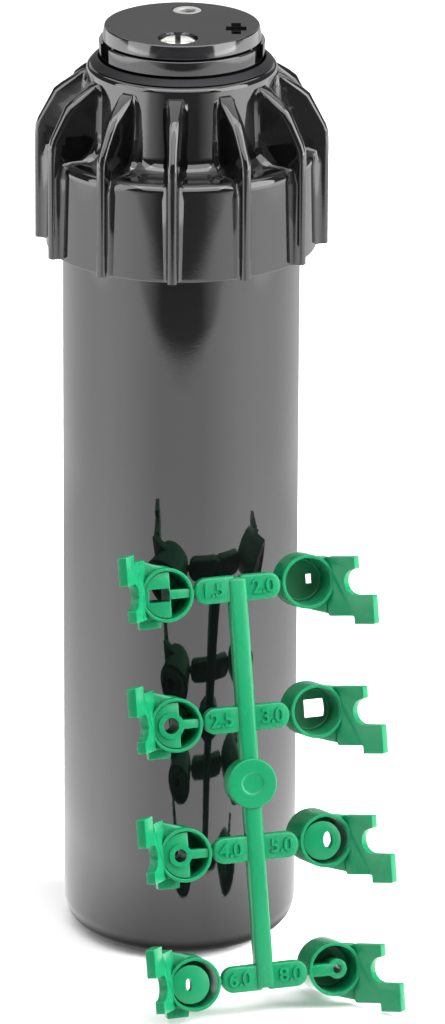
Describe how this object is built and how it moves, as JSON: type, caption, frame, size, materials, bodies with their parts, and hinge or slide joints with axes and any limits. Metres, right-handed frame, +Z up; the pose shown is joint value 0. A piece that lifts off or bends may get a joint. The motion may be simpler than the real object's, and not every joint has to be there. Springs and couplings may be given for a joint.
{
  "type": "pop up sprinkler",
  "caption": "Gear-driven pop-up rotor sprinkler: a black canister with a finned screw cap and sprung riser, and a green tree of spare nozzles leaning on it.",
  "frame": {"origin": "centre of the inlet in the base plane", "axes": "+Z up the canister's axis, -Y towards the nozzle tree"},
  "size_m": [0.0753, 0.0918, 0.1905],
  "materials": {
    "black_plastic": "gloss moulded",
    "black_rubber": "satin moulded",
    "grey_plastic": "matt moulded",
    "white_plastic": "matt moulded",
    "green_plastic": "gloss moulded",
    "steel": "drawn wire and turned bar"
  },
  "bodies": {
    "canister": {"canister": "black_plastic", "cap": "black_plastic", "wiper_seal": "black_rubber", "spring_seat": "grey_plastic", "retraction_spring": "steel", "nozzle_rack": "green_plastic", "nozzle_1": "green_plastic", "nozzle_2": "green_plastic", "nozzle_3": "green_plastic", "nozzle_4": "green_plastic", "nozzle_5": "green_plastic", "nozzle_6": "green_plastic", "nozzle_7": "green_plastic", "nozzle_8": "green_plastic"},
    "riser": {"riser_tube": "black_plastic", "ratchet_ring": "white_plastic", "filter_screen": "white_plastic", "stator": "grey_plastic", "gear_case": "grey_plastic", "gear_case_lid": "grey_plastic", "side_gear_pin": "steel", "centre_gear_pin": "steel", "riser_bearing": "grey_plastic", "thrust_washer": "white_plastic"},
    "turbine": {"turbine_wheel": "green_plastic", "turbine_shaft": "steel"},
    "first_gear": {"gear_1": "white_plastic"},
    "second_gear": {"gear_2": "white_plastic"},
    "third_gear": {"gear_3": "white_plastic"},
    "last_gear": {"output_gear": "white_plastic"},
    "turret": {"turret_housing": "black_plastic", "turret_cover": "black_rubber", "fitted_nozzle": "green_plastic", "drive_stem": "grey_plastic"},
    "distance_screw": {"radius_screw": "steel"},
    "adjuster": {"arc_adjuster": "black_plastic"},
    "arc_setting": {"arc_ring": "white_plastic"}
  },
  "joints": [
    {"name": "pop_up", "type": "slide", "parent": "canister", "child": "riser", "axis": [0, 0, 1], "range_m": [0, 0.1], "stiffness_N_per_m": 250, "springref_m": -0.06, "deforming": ["retraction_spring"]},
    {"name": "turret_turn", "type": "hinge", "parent": "riser", "child": "turret", "pos_m": [0, 0, 0.16], "axis": [0, 0, 1], "range_deg": [-180, 180]},
    {"name": "turbine_spin", "type": "hinge", "parent": "riser", "child": "turbine", "pos_m": [0, 0, 0.1], "axis": [0, 0, 1], "continuous": true},
    {"name": "first_gear_spin", "type": "hinge", "parent": "riser", "child": "first_gear", "pos_m": [0.0063, 0, 0.11], "axis": [0, 0, 1], "continuous": true},
    {"name": "second_gear_spin", "type": "hinge", "parent": "riser", "child": "second_gear", "pos_m": [0, 0, 0.11], "axis": [0, 0, 1], "continuous": true},
    {"name": "third_gear_spin", "type": "hinge", "parent": "riser", "child": "third_gear", "pos_m": [0.0063, 0, 0.11], "axis": [0, 0, 1], "continuous": true},
    {"name": "last_gear_spin", "type": "hinge", "parent": "riser", "child": "last_gear", "pos_m": [0, 0, 0.12], "axis": [0, 0, 1], "continuous": true},
    {"name": "distance_screw_turn", "type": "hinge", "parent": "turret", "child": "distance_screw", "pos_m": [-0.00079, -0.00967, 0.185], "axis": [0, 0, 1], "range_deg": [-360, 360]},
    {"name": "arc_ring_turn", "type": "hinge", "parent": "turret", "child": "arc_setting", "pos_m": [0, 0, 0.16], "axis": [0, 0, 1], "range_deg": [-140, 180]},
    {"name": "arc_adjuster_turn", "type": "hinge", "parent": "turret", "child": "adjuster", "pos_m": [0.01059, -0.0031, 0.18], "axis": [0, 0, 1], "range_deg": [-630, 490]}
  ],
  "couplings": [
    {"joint": "first_gear_spin", "follows": "turbine_spin", "ratio": -0.4},
    {"joint": "second_gear_spin", "follows": "turbine_spin", "ratio": 0.16},
    {"joint": "third_gear_spin", "follows": "turbine_spin", "ratio": -0.064},
    {"joint": "last_gear_spin", "follows": "turbine_spin", "ratio": 0.0256},
    {"joint": "arc_adjuster_turn", "follows": "arc_ring_turn", "ratio": -3.5}
  ]
}
